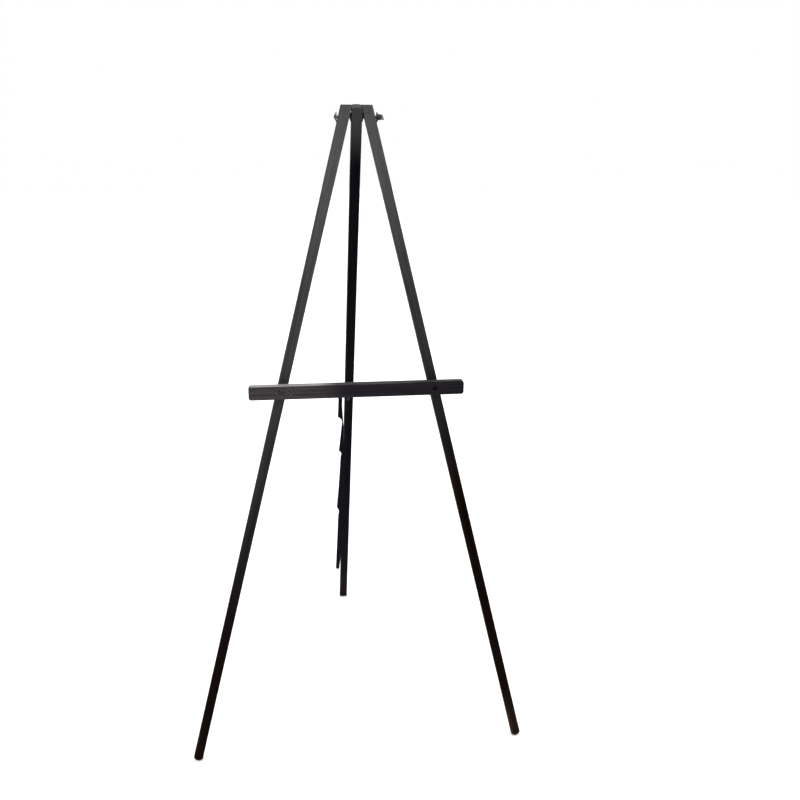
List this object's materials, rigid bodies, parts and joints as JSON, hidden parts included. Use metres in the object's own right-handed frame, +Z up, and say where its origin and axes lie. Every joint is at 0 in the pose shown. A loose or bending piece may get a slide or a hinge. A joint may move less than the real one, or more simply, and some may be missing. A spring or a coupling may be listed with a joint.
{
  "type": "display easel",
  "caption": "Slim wooden tripod easel: splayed front legs, a swinging rear leg with a hanging notched stay, and a flat crossbar that lifts off a peg to fold.",
  "frame": {"origin": "middle of the footprint's bounding box, on the floor", "axes": "+Z up, front faces -Y, +X to the right seen from the front"},
  "size_m": [0.786, 0.6045, 1.4594],
  "materials": {
    "stained_wood": "thin black stain, satin, grain showing",
    "crossbar_wood": "thin black stain worn brown-grey, open grain",
    "zinc_steel": "dull zinc plate",
    "black_steel": "black oxide, semi-matte",
    "dark_screw_steel": "blackened screw steel",
    "stay_steel": "black enamel, scuffed at the notches"
  },
  "bodies": {
    "head": {"top_bolt": "zinc_steel", "top_washer_left": "zinc_steel", "top_washer_right": "black_steel", "leg_spacer_left": "black_steel", "leg_spacer_right": "black_steel"},
    "left_leg": {"front_leg_left": "stained_wood", "crossbar_pivot_bolt": "dark_screw_steel", "pivot_washer": "zinc_steel"},
    "right_leg": {"front_leg_right": "stained_wood", "crossbar_peg": "dark_screw_steel", "peg_washer": "zinc_steel", "peg_nut": "zinc_steel"},
    "rear_leg": {"rear_leg": "stained_wood"},
    "crossbar": {"crossbar": "crossbar_wood", "stay_catch_screw": "dark_screw_steel"},
    "top_wing_nut": {"top_wing_nut": "black_steel"},
    "crossbar_wing_nut": {"crossbar_wing_nut": "black_steel"},
    "stay_eye": {"stay_screw_eye": "zinc_steel"},
    "stay": {"notched_stay": "stay_steel"}
  },
  "joints": [
    {"name": "left_leg_fold", "type": "hinge", "parent": "head", "child": "left_leg", "pos_m": [-0.0248, -0.1126, 1.436], "axis": [0, -0.9921, 0.1251], "range_deg": [0, 12]},
    {"name": "right_leg_fold", "type": "hinge", "parent": "head", "child": "right_leg", "pos_m": [0.0248, -0.1126, 1.436], "axis": [0, -0.9921, 0.1251], "range_deg": [-12, 0]},
    {"name": "crossbar_swing", "type": "hinge", "parent": "left_leg", "child": "crossbar", "pos_m": [-0.15872, -0.18008, 0.90064], "axis": [0, -0.9921, 0.1251], "range_deg": [0, 76.11]},
    {"name": "rear_leg_swing", "type": "hinge", "parent": "head", "child": "rear_leg", "pos_m": [0, -0.1126, 1.436], "axis": [1, 0, 0], "range_deg": [-22, 8]},
    {"name": "top_wing_nut_turn", "type": "hinge", "parent": "head", "child": "top_wing_nut", "pos_m": [0.045, -0.1126, 1.436], "axis": [1, 0, 0], "continuous": true},
    {"name": "crossbar_wing_nut_turn", "type": "hinge", "parent": "left_leg", "child": "crossbar_wing_nut", "pos_m": [-0.15872, -0.16619, 0.89889], "axis": [0, 0.9921, -0.1251], "continuous": true},
    {"name": "stay_swing", "type": "hinge", "parent": "rear_leg", "child": "stay_eye", "pos_m": [-0.012, 0.0766, 0.766], "axis": [1, 0, 0], "range_deg": [-110, 40]},
    {"name": "stay_sway", "type": "hinge", "parent": "stay_eye", "child": "stay", "pos_m": [-0.022, 0.0766, 0.766], "axis": [0, 1, 0], "range_deg": [-1.5, 2.5]}
  ],
  "couplings": [
    {"joint": "right_leg_fold", "follows": "left_leg_fold", "ratio": -1},
    {"joint": "crossbar_swing", "follows": "left_leg_fold", "ratio": 6.3385}
  ]
}
